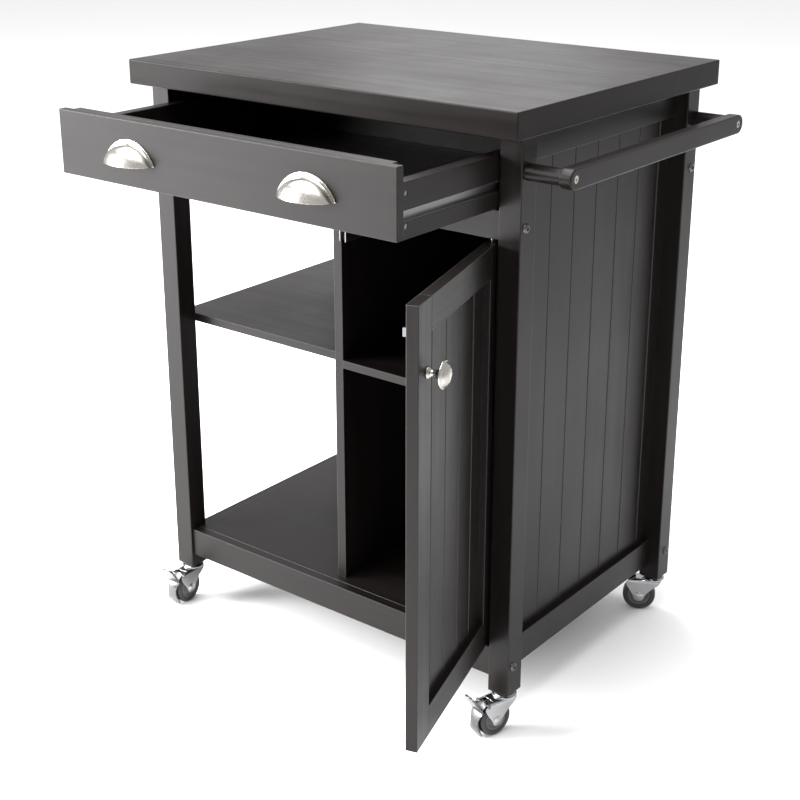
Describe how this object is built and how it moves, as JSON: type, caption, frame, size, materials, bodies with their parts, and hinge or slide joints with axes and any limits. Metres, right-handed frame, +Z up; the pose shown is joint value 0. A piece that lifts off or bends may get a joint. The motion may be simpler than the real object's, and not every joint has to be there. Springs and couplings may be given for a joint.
{
  "type": "kitchen island cart",
  "caption": "Kitchen island cart on swivel casters, with a worktop, a full-width drawer, a cabinet with a panelled door, open shelves and a towel bar on one side.",
  "frame": {"origin": "on the floor, under the centre of the worktop and midway between the four casters", "axes": "+Z up, -Y towards the drawer and door side, +X towards the towel bar side"},
  "size_m": [0.705, 0.7235, 0.85],
  "materials": {
    "painted_wood": "satin",
    "worktop_paint": "satin",
    "painted_beadboard": "satin",
    "drawer_board": "satin",
    "satin_nickel": "satin",
    "bright_zinc": "polished",
    "zinc_steel": "satin",
    "dark_steel": "satin",
    "tyre_rubber": "matt",
    "grey_plastic": "satin"
  },
  "bodies": {
    "frame": {"apron_left": "painted_wood", "apron_right": "painted_wood", "back_panel": "painted_beadboard", "barrel_nuts": "zinc_steel", "caster_sockets": "zinc_steel", "divider": "painted_wood", "door_catch": "zinc_steel", "leg_back_left": "painted_wood", "leg_back_right": "painted_wood", "leg_bolts": "dark_steel", "leg_front_left": "painted_wood", "leg_front_right": "painted_wood", "rail_back_bottom": "painted_wood", "rail_back_top": "painted_wood", "rail_bottom_left": "painted_wood", "rail_bottom_right": "painted_wood", "rail_front_bottom": "painted_wood", "rail_front_top": "painted_wood", "runner_left": "painted_wood", "shelf_bottom": "painted_wood", "shelf_cabinet": "painted_wood", "shelf_open": "painted_wood", "shelf_pins": "zinc_steel", "side_panel": "painted_beadboard", "slides_fixed": "zinc_steel", "towel_bar": "painted_wood", "towel_posts": "painted_wood", "towel_screws": "satin_nickel", "worktop": "worktop_paint"},
    "drawer": {"drawer_front": "painted_wood", "drawer_subfront": "drawer_board", "cup_pulls": "satin_nickel", "pull_screws": "satin_nickel", "drawer_sides": "drawer_board", "drawer_back": "drawer_board", "drawer_bottom": "drawer_board", "slides_drawer": "zinc_steel", "drawer_screws": "zinc_steel"},
    "door": {"door_stile_hinge": "painted_wood", "door_stile_free": "painted_wood", "door_rails": "painted_wood", "door_panel": "painted_beadboard", "door_pivot_pins": "zinc_steel", "door_knob": "satin_nickel", "knob_screw": "satin_nickel", "catch_strike": "zinc_steel"},
    "caster_front_left": {"caster_fork_front_left": "bright_zinc"},
    "wheel_front_left": {"wheel_hub_front_left": "grey_plastic", "wheel_tyre_front_left": "tyre_rubber"},
    "brake_lever_front_left": {"brake_front_left": "bright_zinc"},
    "caster_front_right": {"caster_fork_front_right": "bright_zinc"},
    "wheel_front_right": {"wheel_hub_front_right": "grey_plastic", "wheel_tyre_front_right": "tyre_rubber"},
    "brake_lever_front_right": {"brake_front_right": "bright_zinc"},
    "caster_back_left": {"caster_fork_back_left": "bright_zinc"},
    "wheel_back_left": {"wheel_hub_back_left": "grey_plastic", "wheel_tyre_back_left": "tyre_rubber"},
    "caster_back_right": {"caster_fork_back_right": "bright_zinc"},
    "wheel_back_right": {"wheel_hub_back_right": "grey_plastic", "wheel_tyre_back_right": "tyre_rubber"}
  },
  "joints": [
    {"name": "drawer_slide", "type": "slide", "parent": "frame", "child": "drawer", "axis": [0, -1, 0], "range_m": [-0.196, 0.104]},
    {"name": "door_hinge", "type": "hinge", "parent": "frame", "child": "door", "pos_m": [0.2655, -0.2095, 0.4], "axis": [0, 0, 1], "range_deg": [-106.6, 5]},
    {"name": "swivel_front_left", "type": "hinge", "parent": "frame", "child": "caster_front_left", "pos_m": [-0.297, -0.205, 0.058], "axis": [0, 0, 1], "continuous": true},
    {"name": "roll_front_left", "type": "hinge", "parent": "caster_front_left", "child": "wheel_front_left", "pos_m": [-0.29595, -0.22497, 0.025], "axis": [0.9986, 0.0523, 0], "continuous": true},
    {"name": "brake_front_left", "type": "hinge", "parent": "caster_front_left", "child": "brake_lever_front_left", "pos_m": [-0.29517, -0.23995, 0.05], "axis": [0.9986, 0.0523, 0], "range_deg": [-12, 4]},
    {"name": "swivel_front_right", "type": "hinge", "parent": "frame", "child": "caster_front_right", "pos_m": [0.297, -0.205, 0.058], "axis": [0, 0, 1], "continuous": true},
    {"name": "roll_front_right", "type": "hinge", "parent": "caster_front_right", "child": "wheel_front_right", "pos_m": [0.29099, -0.22407, 0.025], "axis": [0.9537, -0.3007, 0], "continuous": true},
    {"name": "brake_front_right", "type": "hinge", "parent": "caster_front_right", "child": "brake_lever_front_right", "pos_m": [0.28648, -0.23838, 0.05], "axis": [0.9537, -0.3007, 0], "range_deg": [-12, 4]},
    {"name": "swivel_back_left", "type": "hinge", "parent": "frame", "child": "caster_back_left", "pos_m": [-0.297, 0.205, 0.058], "axis": [0, 0, 1], "continuous": true},
    {"name": "roll_back_left", "type": "hinge", "parent": "caster_back_left", "child": "wheel_back_left", "pos_m": [-0.30099, 0.1854, 0.025], "axis": [0.9799, -0.1994, 0], "continuous": true},
    {"name": "swivel_back_right", "type": "hinge", "parent": "frame", "child": "caster_back_right", "pos_m": [0.297, 0.205, 0.058], "axis": [0, 0, 1], "continuous": true},
    {"name": "roll_back_right", "type": "hinge", "parent": "caster_back_right", "child": "wheel_back_right", "pos_m": [0.27923, 0.19583, 0.025], "axis": [0.4586, -0.8886, 0], "continuous": true}
  ]
}
